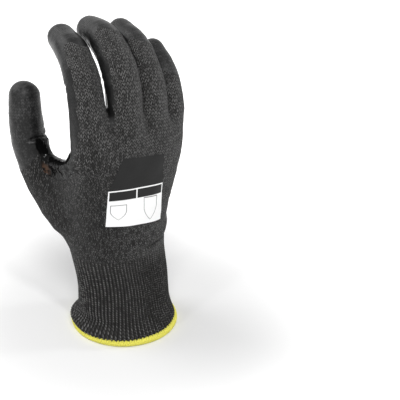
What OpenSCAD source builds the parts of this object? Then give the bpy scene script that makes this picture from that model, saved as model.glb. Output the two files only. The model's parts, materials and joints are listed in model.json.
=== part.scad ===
// Cut resistant work glove for a right hand, size 9, standing on its cuff with the fingers half closed.
// Millimetres. +Z is up, the palm faces +Y, the back of the hand faces -Y and the thumb is on the -X side.
// The origin is the centre of the cuff's open rim, on the surface that the glove stands on.

/* [Fabric] */
// Thickness of the knitted wall
knit_t = 1.2; // [1:0.1:1.4]
// Thickness of the dipped coating over the knit
coat_t = 0.5; // [0.3:0.1:0.6]
// Clearance round a ball at a finger bend
gap = 0.35; // [0.3:0.05:0.5]

/* [Cuff] */
// Radius of the knitted rim
rim_r = 37.6; // [36:0.2:39]
// Half width of the cuff where it narrows to the wrist
wrist_a = 33; // [32.5:0.1:33.2]
// Half depth of the cuff at the wrist
wrist_b = 26; // [25.5:0.1:26.2]
// Height of the wrist bend above the rim
wrist_z = 61; // [60:0.5:62]
// Height of the overlocked edge binding
binding_h = 4.2; // [3.6:0.2:5]
// How far the binding stands out from the knit
binding_t = 1.3; // [1:0.1:1.5]
// Number of elastic yarns laid into the cuff
elastic_count = 6; // [4:1:8]
// Thickness of an elastic yarn
elastic_d = 0.7; // [0.5:0.1:0.8]

/* [Hand] */
// How far the hand leans back from the cuff, in degrees
hand_lean = 8; // [7:0.5:9]
// Half width of the hand at the knuckles
hand_a = 45; // [44:0.5:46]
// Half thickness of the hand at the knuckles
hand_b = 15; // [14.8:0.1:15.6]
// How far the wrist bends each way, in degrees
wrist_bend = 16; // [10:1:16]

/* [Bends] */
// Largest bend at a knuckle, from straight, in degrees
knuckle_bend = 72; // [66:1:74]
// Largest bend at a finger's middle joint
middle_bend = 82; // [76:1:84]
// Largest bend at a finger's end joint
end_bend = 56; // [50:1:60]
// Share of a ball's radius that is open for the finger
mouth = 0.66; // [0.5:0.02:0.7]

/* [Back label] */
// Width of the printed label field on the back of the hand
label_w = 46; // [40:1:48]
// Height of the printed label field
label_h = 49; // [44:1:50]
// Thickness of the printed film
label_t = 0.3; // [0.2:0.1:0.4]

/* [Hidden] */
$fn = 48;

knit_colour = "#3a3a3c";
coating_colour = "#232325";
binding_colour = "#d8d843";
patch_colour = "#161618";
label_colour = "#f2f2f0";
elastic_colour = "#5a5a5c";

eps = 0.01;
far = 90;               // reaches past the whole hand
wrist = [0.5, 4, wrist_z];
bell_clearance = 0.8;   // between the cuff's round end and the hand around it
ball_reach = 5;         // how far the cuff's round end goes past the wrist bend
side_taper = 0.7;       // how much the side limits draw in at each length of a digit
ball_lip = 0.3;         // how much a length is slimmer than its ball where it leaves it
rim_drop = 5;           // how far short of the next ball's centre a length ends

// A digit is [first joint, spin, splay, pitches, lengths, radii, side limits, bend limits].
// Pitch is the lean of each length towards the palm, splay is its lean to the side, and spin turns
// the plane that it bends in. Radii are at the three joints and the tip. Side limits keep neighbours
// apart, measured from the digit's centre plane. The last list is the largest bend at each joint.
finger_bends = [knuckle_bend, middle_bend, end_bend];
index_finger = [[-29, -8.5, 147], 0, 5, [21, 53, 75], [45, 26, 19], [13, 12, 11, 9.4], [11.6, 11.1],
                finger_bends];
middle_finger = [[-4.6, -11.5, 148], 0, 2.5, [13, 58, 86], [49.5, 30, 20], [13, 12, 10.9, 9.5],
                 [11.1, 10.2], finger_bends];
ring_finger = [[17.4, -9, 141.5], 0, 1.5, [9, 48, 74], [45.5, 28, 20], [12.6, 11.5, 10.4, 9.1],
               [10.2, 9.5], finger_bends];
little_finger = [[37.2, -3, 134], 0, 1, [5, 32, 50], [37, 21, 18], [11.6, 10.5, 9.5, 8.4], [9.4, 16],
                 finger_bends];
thumb = [[-28.5, 16.5, 79.5], -135, -4.7, [-40.7, -15, -2.6], [45, 34, 24], [16, 14.4, 12.6, 10.5],
         [24, 24], [0, 44, 44]];
fingers = [index_finger, middle_finger, ring_finger, little_finger];
thumb_swings = [-9, 1, 12];     // angles at which the thumb's base is kept clear of the hand
thumb_clear = [-33, 85];              // middle of the round gap that the palm's coating leaves for it
thumb_clear_r = 27;
web_clear = -20;                      // where the coating stops short of the web beside the thumb
palm_coating_h = 57;                  // height of the palm's coating above the wrist bend
label_mid = [-3, 115];                // middle of the printed label, across the hand and up from the rim

function base_of(d) = d[0];
function spin_of(d) = d[1];
function splay_of(d) = d[2];
function pitch_of(d, k) = d[3][k];
function length_of(d, k) = d[4][k];
function radius_of(d, k) = d[5][k];
function half_notch(d, k) = d[7][k] / 2 + 1.5;

// Direction of length k of a digit.
function aim(d, k) =
    let (p = pitch_of(d, k), s = splay_of(d), t = spin_of(d), x = cos(p) * sin(s), y = sin(p))
    [x * cos(t) - y * sin(t), x * sin(t) + y * cos(t), cos(p) * cos(s)];

// Place of joint k of a digit, counted from the knuckle.
function joint_at(d, k) = k == 0 ? base_of(d) : joint_at(d, k - 1) + length_of(d, k - 1) * aim(d, k - 1);

// Puts children in the frame of length k: +Z runs along it and +Y is the side that it closes to.
module along(d, k) {
    translate(joint_at(d, k)) rotate([-pitch_of(d, k), splay_of(d), spin_of(d)]) children();
}

// A prism along the hinge line with its outline in the plane of the bend.
module bend_prism(outline, x0 = -far, x1 = far) {
    translate([x0, 0, 0]) rotate([90, 0, 90]) linear_extrude(x1 - x0) polygon(outline);
}

// The wedge on the closing side between a length's end plane and the plane that the bend needs free.
module notch(angle, up) {
    bend_prism([[0, 0], [far, 0], [far, up * far * tan(angle)]]);
}

// The slab between a digit's side limits, a little slimmer at each length towards the tip.
module side_slab(d, k, grow) {
    low = -d[6][0] - grow + k * side_taper;
    high = d[6][1] + grow - k * side_taper;
    translate([low, -far, -far]) cube([high - low, 2 * far, 2 * far]);
}

// The cone of length k, cut back on the closing side. A positive wall keeps that much behind each cut.
module cone_part(d, k, grow, wall) {
    difference() {
        cylinder(r1 = radius_of(d, k) + grow - ball_lip, r2 = radius_of(d, k + 1) + grow, h = length_of(d, k));
        if (half_notch(d, k) > 2) translate([0, 0, wall]) notch(half_notch(d, k), 1);
        if (k < 2) translate([0, 0, length_of(d, k) - wall]) notch(half_notch(d, k + 1), -1);
    }
}

// The whole outer form of length k: its cone, the ball at its near joint, and the dome of a tip.
module digit_form(d, k, grow, wall) {
    intersection() {
        union() {
            cone_part(d, k, grow, wall);
            sphere(radius_of(d, k) + grow);
            if (k == 2) translate([0, 0, length_of(d, k)]) sphere(radius_of(d, k + 1) + grow);
        }
        side_slab(d, k, grow);
    }
}

// One knitted length of a digit, open for the finger at both ends, or closed at the tip.
module digit_knit(d, k) {
    color(knit_colour) along(d, k) difference() {
        digit_form(d, k, 0, 0);
        digit_form(d, k, -knit_t, knit_t);
        translate([0, 0, -far]) cylinder(r = mouth * radius_of(d, k), h = far);
        if (k < 2) translate([0, 0, length_of(d, k)]) {
            sphere(radius_of(d, k + 1) + gap);
            translate([0, 0, -rim_drop]) cylinder(r = far, h = far);
        }
    }
}

// The dipped skin on one length: its closing side, and all round on the tip.
module digit_coating(d, k) {
    r0 = radius_of(d, k);
    color(coating_colour) along(d, k) intersection() {
        difference() {
            union() {
                cone_part(d, k, coat_t, 0);
                if (k == 2) translate([0, 0, length_of(d, k)]) sphere(radius_of(d, 3) + coat_t);
            }
            cylinder(r1 = r0, r2 = radius_of(d, k + 1), h = length_of(d, k));
            sphere(r0 + coat_t + 2 * gap);
            if (k == 2) translate([0, 0, length_of(d, k)]) sphere(radius_of(d, 3));
            if (k < 2) translate([0, 0, length_of(d, k)])
                sphere(radius_of(d, k + 1) + coat_t + 2 * gap);
        }
        side_slab(d, k, 0);
        union() {
            translate([-far, 0, -far]) cube([2 * far, far, 2 * far]);
            if (k == 2) translate([-far, -far, length_of(d, k) * 0.45]) cube([2 * far, 2 * far, far]);
        }
    }
}

// A closed tube of oval rings. Each ring is [height, centre x, centre y, half width, half depth, power]:
// power 2 is an ellipse and more is squarer.
oval_sides = 44;
function oval(ring, grow) = [
    for (i = [0:oval_sides - 1])
        let (t = 360 * i / oval_sides, c = cos(t), s = sin(t), q = 2 / ring[5])
        [ring[1] + (ring[3] + grow) * sign(c) * pow(abs(c), q),
         ring[2] + (ring[4] + grow) * sign(s) * pow(abs(s), q), ring[0]]
];
module oval_tube(rings, grow) {
    n = oval_sides;
    last = (len(rings) - 1) * n;
    polyhedron(
        points = [for (ring = rings) for (p = oval(ring, grow)) p],
        faces = concat(
            [[for (i = [0:n - 1]) i]],
            [[for (i = [n - 1:-1:0]) last + i]],
            [for (k = [0:len(rings) - 2]) for (i = [0:n - 1])
                let (a = k * n + i, b = k * n + (i + 1) % n) each [[a, a + n, b], [b, a + n, b + n]]]
        )
    );
}

// Rings of the cuff: a flared rim, a slim tube, and a round end that the hand turns on.
function ball_ring(dz) = let (s = sqrt(1 - pow(dz / wrist_b, 2)))
    [wrist_z + dz, wrist[0], wrist[1], wrist_a * s, wrist_b * s, 2];
function cuff_rings(low, high) = concat(
    [[low, 0, 0, rim_r, rim_r, 2], [5, 0, 0, rim_r - 0.3, rim_r - 0.5, 2], [11, 0, 0.4, rim_r - 3, rim_r - 4.6, 2],
     [17, 0.1, 1, 33.4, 30.4, 2], [26, 0.2, 1.8, 32.8, 28.4, 2], [38, 0.4, 3, 32.4, 26.8, 2],
     [47, 0.5, 3.8, 31.8, 25.2, 2]],
    [for (dz = [-9, -6, -3, 0, 2.5, high]) ball_ring(dz)]
);

// Rings of the hand, from the bell over the cuff's round end to past the knuckles.
hand_rings = [
    [wrist_z - 1, wrist[0], wrist[1], wrist_a + bell_clearance + knit_t, wrist_b + bell_clearance + knit_t, 2],
    [wrist_z + 9, 0.5, 3.2, 35.4, 28, 2.05], [wrist_z + 20, 0.5, 1.6, 37, 26.4, 2.2],
    [96, 1, -1, 40, 24, 2.4], [110, 2, -3.6, 42.6, 20.8, 2.6], [124, 3, -6.2, hand_a - 1, 17.8, 2.8],
    [136, 3.5, -8.4, hand_a, hand_b + 0.8, 3], [151, 3.6, -10.2, hand_a + 0.4, hand_b, 3]
];

// The web of knit between the thumb and the index finger. Its free edge runs along +Z of a frame that
// leans and turns with it, and faces +X there.
web_edge_r = 5;
patch_t = 1.1;
web_points = [[-36, 17, 121], [-37, 6, 131], [-26, 4, 100], [-22, -4, 124]];
web_radii = [web_edge_r, web_edge_r, 12, 11];
web_edge = web_points[1] - web_points[0];
web_edge_length = norm(web_edge);
web_edge_lean = acos(web_edge[2] / web_edge_length);
web_edge_turn = atan2(web_edge[1], web_edge[0]);
web_edge_roll = -142;
module web(grow) {
    hull() for (i = [0:3]) translate(web_points[i]) sphere(r = web_radii[i] + grow, $fn = 24);
}

// Everything of the hand that a finger needs free above its knuckle, down to a wall's depth below.
module knuckle_cut(d, wall) {
    side = 1.2 - wall;
    low = -wall - gap - 0.1;
    drop = half_notch(d, 0);
    translate(base_of(d)) rotate([hand_lean, splay_of(d), 0])
        bend_prism([[-far, low], [0, low], [far, low - far * tan(drop)], [far, far], [-far, far]],
                   -d[6][0] - side - (d == index_finger ? far : 0),
                   d[6][1] + side + (d == little_finger ? far : 0));
}
module knuckle_cuts(wall) {
    for (d = fingers) knuckle_cut(d, wall);
}
module knuckle_sockets(grow) {
    for (d = fingers) translate(base_of(d)) sphere(radius_of(d, 0) + grow);
}

// The space that the thumb's base sweeps as it swings about an upright line through its first joint.
module thumb_sweep(grow) {
    r0 = radius_of(thumb, 0) + grow;
    translate(base_of(thumb)) sphere(r0);
    for (a = thumb_swings) translate(base_of(thumb)) rotate([0, 0, a]) translate(-base_of(thumb))
        along(thumb, 0) cylinder(r1 = r0, r2 = radius_of(thumb, 1) + grow, h = length_of(thumb, 0) + 6);
}

// A thin shell of many small flat faces, taken as one mesh.
module as_mesh() {
    resize([0, 0, 0]) children();
}

module hand_form(grow) {
    oval_tube(hand_rings, grow);
    web(grow);
}

// The cuff is notched at the top, inside the hand, where the thumb's ball passes as the wrist bends.
module cuff_knit() {
    color(knit_colour) difference() {
        oval_tube(cuff_rings(1.2, ball_reach), 0);
        oval_tube(cuff_rings(1.2 - 2, ball_reach + 2), -knit_t);
        for (bend = [-1:0.5:1]) translate(wrist) rotate([bend * (wrist_bend + 1), 0, 0])
            translate(base_of(thumb) - wrist) sphere(radius_of(thumb, 0) + 0.8);
    }
}

// The overlocked edge, wrapped round the rim inside and out, flat underneath where it stands.
module cuff_binding() {
    outer = rim_r + binding_t;
    inner = rim_r - knit_t - binding_t;
    color(binding_colour) difference() {
        rotate_extrude($fn = 96) hull() {
            translate([inner, 0]) square([outer - inner, 1.5]);
            translate([inner + 1, binding_h - 1]) circle(1, $fn = 24);
            translate([outer - 1, binding_h - 1]) circle(1, $fn = 24);
        }
        translate([0, 0, 1.15]) difference() {
            cylinder(r = rim_r + 0.1, h = far, $fn = 96);
            translate([0, 0, -1]) cylinder(r = rim_r - knit_t - 0.8, h = far + 2, $fn = 96);
        }
    }
}

// Elastic yarns that draw the cuff in, lying against the inside of its wall.
module cuff_elastic_yarns() {
    rings = cuff_rings(1.2, ball_reach);
    color(elastic_colour) for (i = [0:elastic_count - 1]) {
        z = 17 + i * 28 / (elastic_count - 1);
        k = max([for (j = [0:len(rings) - 2]) if (rings[j][0] <= z) j]);
        s = (z - rings[k][0]) / (rings[k + 1][0] - rings[k][0]);
        mid = rings[k] * (1 - s) + rings[k + 1] * s;
        low = [z - elastic_d / 2, mid[1], mid[2], mid[3] - knit_t - 0.2, mid[4] - knit_t - 0.2, 2];
        high = [z + elastic_d / 2, mid[1], mid[2], low[3], low[4], 2];
        difference() {
            oval_tube([low, high], 0);
            oval_tube([[low[0] - 1, low[1], low[2], low[3], low[4], 2],
                       [high[0] + 1, high[1], high[2], high[3], high[4], 2]], -elastic_d);
        }
    }
}

// The tongue of coating that runs down over the top of the cuff on the palm side.
module cuff_coating() {
    color(coating_colour) intersection() {
        difference() {
            oval_tube(cuff_rings(1.2, ball_reach), coat_t);
            oval_tube(cuff_rings(1.2 - 2, ball_reach + 2), 0.02);
        }
        translate([wrist[0], 0, wrist_z - 4]) rotate([-90, 0, 0]) cylinder(r = 26, h = far);
        translate([-far, wrist[1], 0]) cube([2 * far, far, wrist_z - 13]);
    }
}

module hand_knit() {
    color(knit_colour) as_mesh() difference() {
        hand_form(0);
        difference() {
            hand_form(-knit_t);
            knuckle_cuts(knit_t);
        }
        translate([0, 0, wrist_z - 3]) oval_tube([
            [0, wrist[0], wrist[1], hand_rings[0][3], hand_rings[0][4], 2],
            [3, wrist[0], wrist[1], hand_rings[0][3], hand_rings[0][4], 2]], -knit_t);
        knuckle_cuts(0);
        knuckle_sockets(gap);
        thumb_sweep(0.8);
    }
}

// The dipped skin over the palm and the hand's two edges, up to the knuckles, clear of the thumb.
module palm_coating() {
    color(coating_colour) as_mesh() intersection() {
        difference() {
            oval_tube(hand_rings, coat_t);
            oval_tube(hand_rings, 0.02);
        }
        difference() {
            translate(wrist) rotate([hand_lean, 0, 0]) translate([-far, -3, 0]) cube([2 * far, far, palm_coating_h]);
            translate([thumb_clear[0], 0, thumb_clear[1]]) rotate([-90, 0, 0])
                cylinder(r = thumb_clear_r, h = far);
            translate([thumb_clear[0] - far, -far, 0]) cube([far, 2 * far, thumb_clear[1] + thumb_clear_r]);
            translate([web_clear - far, -far, thumb_clear[1]]) cube([far, 2 * far, far]);
        }
    }
}

// A thin printed film on the back of the hand, below the knuckles. It carries no words or marks.
module back_label() {
    color(label_colour) intersection() {
        difference() {
            oval_tube(hand_rings, label_t + 0.02);
            oval_tube(hand_rings, 0.02);
        }
        translate([label_mid[0] - label_w / 2, -far, label_mid[1] - label_h / 2]) cube([label_w, far, label_h]);
    }
}

// The tough saddle sewn over the web between thumb and index finger: part of a pipe along its edge.
module thumb_crotch_patch() {
    color(patch_colour) translate(web_points[0]) rotate([0, 0, web_edge_turn]) rotate([0, web_edge_lean, 0])
        rotate([0, 0, web_edge_roll]) difference() {
            cylinder(r = web_edge_r + patch_t, h = web_edge_length);
            translate([0, 0, -1]) cylinder(r = web_edge_r + 0.1, h = web_edge_length + 2);
            translate([-far, -far, -far]) cube([far + web_edge_r * 0.5, 2 * far, 2 * far]);
        }
}

cuff_knit();
cuff_binding();
cuff_elastic_yarns();
cuff_coating();
hand_knit();
palm_coating();
back_label();
thumb_crotch_patch();
digit_knit(index_finger, 0);  // index_base_knit
digit_coating(index_finger, 0);  // index_base_coating
digit_knit(index_finger, 1);  // index_middle_knit
digit_coating(index_finger, 1);  // index_middle_coating
digit_knit(index_finger, 2);  // index_tip_knit
digit_coating(index_finger, 2);  // index_tip_coating
digit_knit(middle_finger, 0);  // middle_base_knit
digit_coating(middle_finger, 0);  // middle_base_coating
digit_knit(middle_finger, 1);  // middle_middle_knit
digit_coating(middle_finger, 1);  // middle_middle_coating
digit_knit(middle_finger, 2);  // middle_tip_knit
digit_coating(middle_finger, 2);  // middle_tip_coating
digit_knit(ring_finger, 0);  // ring_base_knit
digit_coating(ring_finger, 0);  // ring_base_coating
digit_knit(ring_finger, 1);  // ring_middle_knit
digit_coating(ring_finger, 1);  // ring_middle_coating
digit_knit(ring_finger, 2);  // ring_tip_knit
digit_coating(ring_finger, 2);  // ring_tip_coating
digit_knit(little_finger, 0);  // little_base_knit
digit_coating(little_finger, 0);  // little_base_coating
digit_knit(little_finger, 1);  // little_middle_knit
digit_coating(little_finger, 1);  // little_middle_coating
digit_knit(little_finger, 2);  // little_tip_knit
digit_coating(little_finger, 2);  // little_tip_coating
digit_knit(thumb, 0);  // thumb_base_knit
digit_coating(thumb, 0);  // thumb_base_coating
digit_knit(thumb, 1);  // thumb_middle_knit
digit_coating(thumb, 1);  // thumb_middle_coating
digit_knit(thumb, 2);  // thumb_tip_knit
digit_coating(thumb, 2);  // thumb_tip_coating
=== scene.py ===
"""Looks of a cut resistant glove: a seamless knitted liner, a dipped coating, a ribbed cuff and its trims.

Shapes are worked out in millimetres and each mesh is written in metres. +Z is up, the palm faces +Y, the
back of the hand faces -Y and the thumb is on the -X side. The liner is one smooth skin, found as the zero
level of a distance field, and is then parted at the wrist and at each bend.
"""

import json
import logging
from collections.abc import Callable
from dataclasses import dataclass, field
from enum import Enum
from math import cos, pi, radians, sin, tau

import bpy
import numpy as np
from mathutils import Euler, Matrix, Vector


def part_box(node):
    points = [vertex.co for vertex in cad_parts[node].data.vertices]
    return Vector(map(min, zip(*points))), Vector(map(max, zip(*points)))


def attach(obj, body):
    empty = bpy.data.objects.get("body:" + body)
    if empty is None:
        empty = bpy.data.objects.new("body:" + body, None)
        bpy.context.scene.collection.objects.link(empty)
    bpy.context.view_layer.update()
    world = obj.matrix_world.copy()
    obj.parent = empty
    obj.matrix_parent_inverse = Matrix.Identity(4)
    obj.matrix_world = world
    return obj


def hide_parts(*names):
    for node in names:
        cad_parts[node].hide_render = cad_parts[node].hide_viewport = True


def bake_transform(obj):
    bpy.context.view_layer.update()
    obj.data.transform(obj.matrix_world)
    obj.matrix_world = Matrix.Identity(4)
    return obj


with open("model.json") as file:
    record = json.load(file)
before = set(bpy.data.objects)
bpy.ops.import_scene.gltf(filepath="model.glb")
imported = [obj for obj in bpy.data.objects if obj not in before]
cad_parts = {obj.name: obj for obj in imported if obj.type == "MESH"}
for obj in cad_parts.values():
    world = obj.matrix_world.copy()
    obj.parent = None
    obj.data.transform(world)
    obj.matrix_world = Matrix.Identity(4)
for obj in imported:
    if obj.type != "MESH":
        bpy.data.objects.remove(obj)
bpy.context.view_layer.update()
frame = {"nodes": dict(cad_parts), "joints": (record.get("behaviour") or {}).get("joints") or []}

MM = 0.001
FAR = 14.0  # distance given to points that are too far from a part for it to matter
RIBS = 78  # ribs of the cuff
ARC_RADIUS = 34.0  # radius at which lengths round the cuff are measured
PER_RADIAN = 57.3  # degrees
THUMB = 14  # region of the thumb's first length; the fingers' regions start at 2
COAT_EDGE = -0.35  # a face is coated where one of its points lies further inside the coating than this
SENSOR = 36.0  # width of the camera's sensor
Array = np.ndarray
Row = tuple[float, ...]
log = logging.getLogger("glove")


class Yarn(Enum):
    """The two knits of the liner: flat on the hand and drawn into ribs on the cuff."""

    FLAT = "flat"
    RIBBED = "ribbed"


# ---------------------------------------------------------------- numbers and fields


def unit(v: Array) -> Array:
    """Returns the vector, or each row of vectors, at length one."""
    return v / np.maximum(np.linalg.norm(v, axis=-1, keepdims=True), 1e-12)


def ease(x: Array, low: float, high: float) -> Array:
    """A smooth step: 0 below low, 1 above high, and 3t^2 - 2t^3 between."""
    t = np.clip((x - low) / (high - low), 0, 1)
    return t * t * (3 - 2 * t)


def bell(x: Array, width: float) -> Array:
    """A bell curve: exp(-(x / width)^2)."""
    return np.exp(-((x / width) ** 2))


def film(coat: Array) -> Array:
    """How far the dipped coating stands out of the knit, from how far inside its edge points are."""
    return 0.32 * ease(coat, -0.1, 0.9) - 0.12


def smooth_min(a: Array, b: Array, k: float) -> Array:
    """The lesser of two distances, with a fillet of size k: min(a, b) - h^2 k / 4, h = 1 - |a - b| / k."""
    h = np.maximum(k - np.abs(a - b), 0) / k
    return np.minimum(a, b) - h * h * k / 4


def drop(p: Array, a: Array, b: Array) -> tuple[Array, Array]:
    """Drops points onto the line a to b: how far along each lands, from 0 to 1, and its offset from there."""
    t = np.clip((p - a) @ (b - a) / ((b - a) @ (b - a)), 0, 1)
    return t, p - a - t[:, None] * (b - a)


def limb(p: Array, a: Array, b: Array, ra: float, rb: float) -> Array:
    """Distance to a round bar from a to b whose radius goes from ra to rb."""
    t, off = drop(p, a, b)
    return np.linalg.norm(off, axis=1) - (ra + (rb - ra) * t)


def path_distance(p: Array, path: Array) -> tuple[Array, Array]:
    """Distance of each point to an open path of straight lengths.

    Args:
        p: points, one in a row.
        path: corners of the path.

    Returns:
        The distance, and how far along the path the nearest point is, from 0 to 1.
    """
    best, along = np.full(len(p), np.inf), np.zeros(len(p))
    for k in range(len(path) - 1):
        t, off = drop(p, path[k], path[k + 1])
        d = np.linalg.norm(off, axis=1)
        along = np.where(d < best, (k + t) / (len(path) - 1), along)
        best = np.minimum(best, d)
    return best, along


def within(p: Array, corners: Array, margin: float) -> Array:
    """Which points lie in the box round some corners, widened by a margin."""
    return ((p > corners.min(0) - margin) & (p < corners.max(0) + margin)).all(1)


def through(knots: Array, values: Array, x: Array) -> Array:
    """A smooth curve through rows of values: cubic Hermite pieces whose slopes are the knots' own gradient.

    Args:
        knots: rising positions of the rows.
        values: one row of values for each knot.
        x: positions to read.

    Returns:
        One row of values for each position.
    """
    slope = np.gradient(values, knots, axis=0)
    x = np.clip(x, knots[0], knots[-1])
    k = np.clip(np.searchsorted(knots, x) - 1, 0, len(knots) - 2)
    span = (knots[k + 1] - knots[k])[:, None]
    t = ((x - knots[k])[:, None]) / span
    return (
        values[k] * (1 + 2 * t) * (1 - t) ** 2
        + values[k + 1] * t * t * (3 - 2 * t)
        + slope[k] * span * t * (1 - t) ** 2
        + slope[k + 1] * span * t * t * (t - 1)
    )


def ripple(p: Array, size: float, seed: int) -> Array:
    """An uneven surface from -1 to 1: the mean of eight sine waves in fixed directions.

    Args:
        p: points, one in a row.
        size: length of the waves.
        seed: picks the directions.

    Returns:
        The height at each point.
    """
    rng = np.random.default_rng(seed)
    ways = unit(rng.normal(size=(8, 3))) * tau / (size * rng.uniform(0.8, 1.3, (8, 1)))
    return np.sin(p @ ways.T + rng.uniform(0, tau, 8)).sum(1) / 4


# ---------------------------------------------------------------- shader maths


class Value:
    """A number that a shader works out. Arithmetic on Values adds Math nodes."""

    def __init__(self, board: "Board", socket: bpy.types.NodeSocket) -> None:
        """Wraps an output socket of a board."""
        self.board = board
        self.socket = socket

    def math(self, operation: str, *others: "Value | float") -> "Value":
        """Adds one Math node with this value first."""
        return self.board.math(operation, self, *others)

    def __add__(self, other: "Value | float") -> "Value":
        """Sum."""
        return self.math("ADD", other)

    def __radd__(self, other: float) -> "Value":
        """Sum, from the right."""
        return self.board.math("ADD", other, self)

    def __sub__(self, other: "Value | float") -> "Value":
        """Difference."""
        return self.math("SUBTRACT", other)

    def __rsub__(self, other: float) -> "Value":
        """Difference, from the right."""
        return self.board.math("SUBTRACT", other, self)

    def __mul__(self, other: "Value | float") -> "Value":
        """Product."""
        return self.math("MULTIPLY", other)

    def __truediv__(self, other: "Value | float") -> "Value":
        """Quotient."""
        return self.math("DIVIDE", other)

    def step(self, low: float, high: float) -> "Value":
        """A smooth step from 0 at low to 1 at high."""
        inputs = {"Value": self, "From Min": low, "From Max": high}
        return self.board.node("ShaderNodeMapRange", "Result", {"interpolation_type": "SMOOTHSTEP"}, inputs)

    def within(self, low: float, high: float, soft: float) -> "Value":
        """1 between low and high and 0 outside, with soft edges."""
        return self.step(low - soft, low + soft) * (1 - self.step(high - soft, high + soft))


class Board:
    """The nodes of one material, laid out from an empty tree."""

    def __init__(self, name: str) -> None:
        """Makes a material with a surface shader and nothing else.

        Args:
            name: the material's name.
        """
        self.material = bpy.data.materials.new(name)
        self.material.use_nodes = True
        self.tree = self.material.node_tree
        self.tree.nodes.clear()
        self.surface = self.add("ShaderNodeBsdfPrincipled")
        self.shaded = Value(self, self.surface.outputs[0])
        self.output = self.add("ShaderNodeOutputMaterial", None, {"Surface": self.shaded})

    def add(self, kind: str, settings: dict | None = None, inputs: dict | None = None) -> bpy.types.Node:
        """Adds a node.

        Args:
            kind: the node's type.
            settings: its properties.
            inputs: values or Values by the name or number of the input.

        Returns:
            The node.
        """
        made = self.tree.nodes.new(kind)
        for key, value in (settings or {}).items():
            setattr(made, key, value)
        for key, value in (inputs or {}).items():
            if isinstance(value, Value):
                self.tree.links.new(value.socket, made.inputs[key])
            else:
                made.inputs[key].default_value = value
        return made

    def node(
        self, kind: str, out: str | int, settings: dict | None = None, inputs: dict | None = None
    ) -> Value:
        """Adds a node and returns one of its outputs, by name or number."""
        return Value(self, self.add(kind, settings, inputs).outputs[out])

    def math(self, operation: str, *terms: Value | float) -> Value:
        """Adds one Math node."""
        return self.node("ShaderNodeMath", "Value", {"operation": operation}, dict(enumerate(terms)))

    def set(self, **numbers: float | tuple) -> None:
        """Sets constants on the surface shader. Underscores in a name stand for spaces."""
        for key, value in numbers.items():
            self.surface.inputs[key.replace("_", " ")].default_value = value

    def link(self, value: Value, name: str) -> None:
        """Feeds a socket of the surface shader."""
        self.tree.links.new(value.socket, self.surface.inputs[name])

    def carried(self, layer: str = "weave") -> tuple[Value, ...]:
        """Returns the two numbers of a UV map: "weave" holds lengths in millimetres, "wear" two shares.

        Args:
            layer: name of the UV map.

        Returns:
            Both numbers.
        """
        uv = self.node("ShaderNodeUVMap", "UV", {"uv_map": layer})
        parts = self.add("ShaderNodeSeparateXYZ", None, {"Vector": uv})
        return tuple(Value(self, parts.outputs[k]) for k in "XY")

    def place(self, scale: float = 1000.0) -> Value:
        """Returns the object's coordinates, in millimetres unless a scale is given."""
        inputs = {0: self.node("ShaderNodeTexCoord", "Object"), "Scale": scale}
        return self.node("ShaderNodeVectorMath", "Vector", {"operation": "SCALE"}, inputs)

    def away(self, spot: Row, scale: float = 1000.0) -> Value:
        """Returns the distance from a spot in the object's coordinates."""
        inputs = {0: self.place(scale), 1: spot}
        return self.node("ShaderNodeVectorMath", "Value", {"operation": "DISTANCE"}, inputs)

    def pair(self, x: Value, y: Value | float, z: float = 0.0) -> Value:
        """Joins numbers into a vector."""
        return self.node("ShaderNodeCombineXYZ", "Vector", None, {"X": x, "Y": y, "Z": z})

    def noise(self, at: Value, scale: float, detail: float = 2.0, rough: float = 0.5) -> Value:
        """Returns fractal noise from 0 to 1."""
        inputs = {"Vector": at, "Scale": scale, "Detail": detail, "Roughness": rough}
        return self.node("ShaderNodeTexNoise", 0, {"noise_dimensions": "3D"}, inputs)

    def dice(self, at: Value) -> Value:
        """Returns one random number from 0 to 1 for each whole place."""
        return self.node("ShaderNodeTexWhiteNoise", "Value", {"noise_dimensions": "3D"}, {"Vector": at})

    def blend(self, share: Value, low: Value | tuple, high: Value | tuple) -> Value:
        """Mixes two colours by a share."""
        return self.node("ShaderNodeMix", 2, {"data_type": "RGBA"}, {0: share, 6: low, 7: high})

    def seen(self) -> Value:
        """Returns 1 for what the camera sees, also mirrored or through glass, and 0 for other light.

        Returns:
            The share, 0 or 1.
        """
        ray = self.add("ShaderNodeLightPath")
        direct, mirrored, through_glass = (
            Value(self, ray.outputs[f"Is {k} Ray"]) for k in ("Camera", "Glossy", "Transmission")
        )
        return (direct + mirrored + through_glass).math("MINIMUM", 1.0)

    def bump(self, height: Value, depth: float, strength: float = 1.0) -> None:
        """Feeds a height, from 0 to 1, to the normal as relief of a depth in millimetres."""
        inputs = {"Height": height, "Distance": depth * MM, "Strength": strength}
        self.link(self.node("ShaderNodeBump", "Normal", None, inputs), "Normal")

    def stitches(
        self, u: Value, v: Value, wale: float, course: float, lean: float, drift: float = 0.0
    ) -> tuple[Value, Value]:
        """Draws the V stitches of a plain knit.

        Each wale carries a row of V stitches: the course is counted along v plus the distance from the
        wale's middle, so the two legs of a stitch lean both ways. Height falls off as a square from the
        middle of each leg.

        Args:
            u: length across the wales.
            v: length along them.
            wale: width of a wale.
            course: height of a stitch.
            lean: how far a leg leans, in courses.
            drift: how far the rows of one wale may be shifted, in courses.

        Returns:
            The height, from 0 to 1, and a random number for each leg.
        """
        across = u / wale
        column = across.math("FLOOR")
        inside = across - column
        half = (inside - 0.5).math("ABSOLUTE")
        leg = 1 - ((half - 0.25).math("ABSOLUTE") * 4).math("POWER", 2.0)
        along = v / course + half * (2 * lean) + self.dice(self.pair(column, 0.0, 3.0)) * drift
        row = along.math("FLOOR")
        stitch = (along - row - 0.5).math("ABSOLUTE") * 2
        side = inside.math("GREATER_THAN", 0.5)
        return (1 - stitch * stitch) * (leg * 0.75 + 0.25), self.dice(self.pair(column * 2 + side, row, 8.0))


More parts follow.
